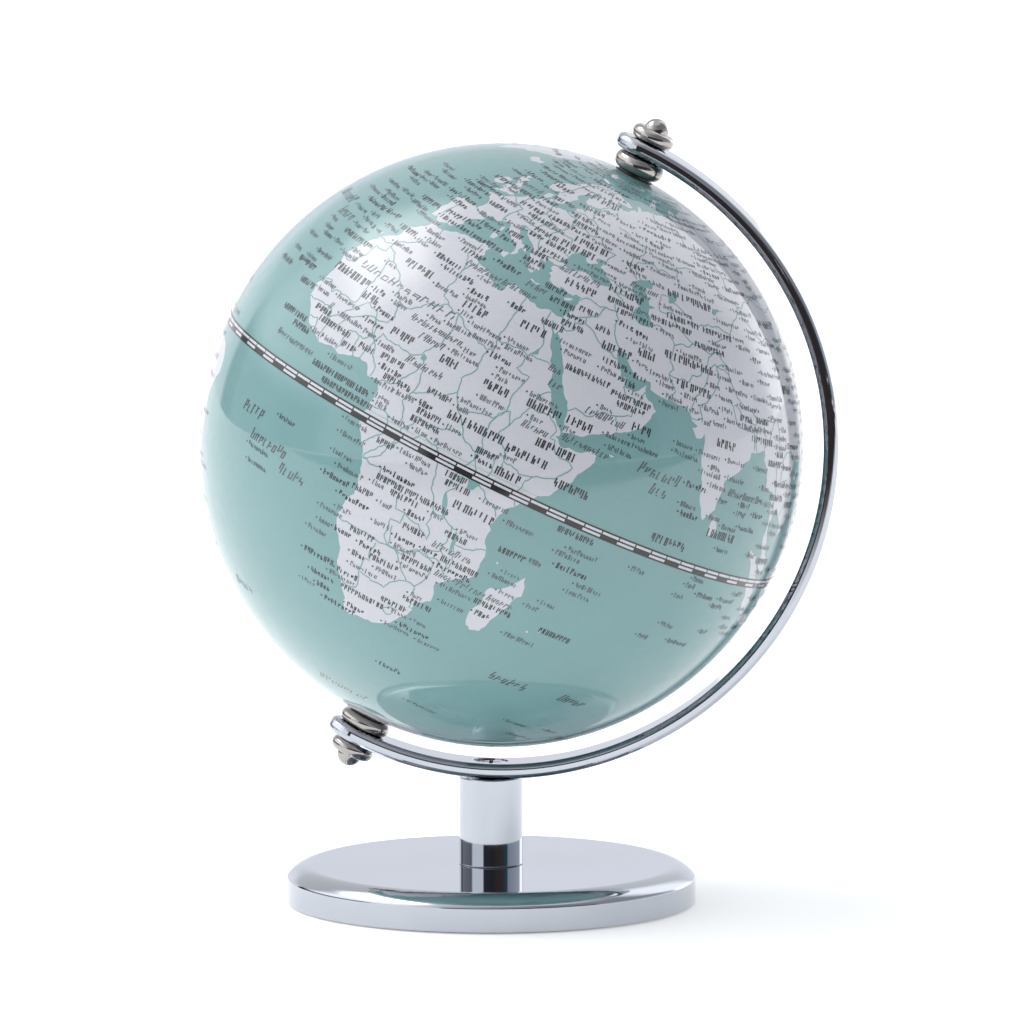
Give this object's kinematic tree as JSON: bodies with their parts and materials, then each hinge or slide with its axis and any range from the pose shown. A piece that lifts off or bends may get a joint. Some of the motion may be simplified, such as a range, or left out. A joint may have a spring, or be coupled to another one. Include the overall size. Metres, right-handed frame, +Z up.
{
  "type": "desktop globe on stand",
  "caption": "Small world globe that spins on a tilted axis in a chromed half-circle arc, on a short post and a round weighted base.",
  "frame": {"origin": "centre of the underside of the base pad, on the post's axis", "axes": "+Z up; the meridian arc lies in the XZ plane and the north pole leans towards +X; -Y faces the viewer"},
  "size_m": [0.148, 0.14, 0.1831],
  "materials": {
    "chrome": "mirror-polished chrome plate",
    "nickel": "polished nickel plate",
    "screw_steel": "zinc-plated steel",
    "iron": "plain casting",
    "pad": "soft black foam rubber",
    "moulded_white": "plain moulding",
    "acetal": "smooth black bearing plastic",
    "printed_map": "printed map under clear gloss lacquer"
  },
  "bodies": {
    "stand": {"base_shell": "chrome", "base_weight": "iron", "base_pad": "pad", "base_spring_washer": "screw_steel", "base_screw": "screw_steel", "post": "chrome", "arc_screw": "screw_steel", "meridian_arc": "chrome", "north_axle_pin": "screw_steel", "south_axle_pin": "screw_steel", "north_thrust_washer": "acetal", "south_thrust_washer": "acetal", "north_bead": "nickel", "south_bead": "nickel", "north_finial": "chrome", "south_finial": "chrome"},
    "globe": {"north_shell": "moulded_white", "south_shell": "moulded_white", "equator_joint_ring": "moulded_white", "north_pole_bush": "acetal", "south_pole_bush": "acetal", "north_map_skin": "printed_map", "south_map_skin": "printed_map"}
  },
  "joints": [
    {"name": "globe_spin", "type": "hinge", "parent": "stand", "child": "globe", "pos_m": [0.0024, 0, 0.107], "axis": [0.4384, 0, 0.8988], "continuous": true}
  ]
}
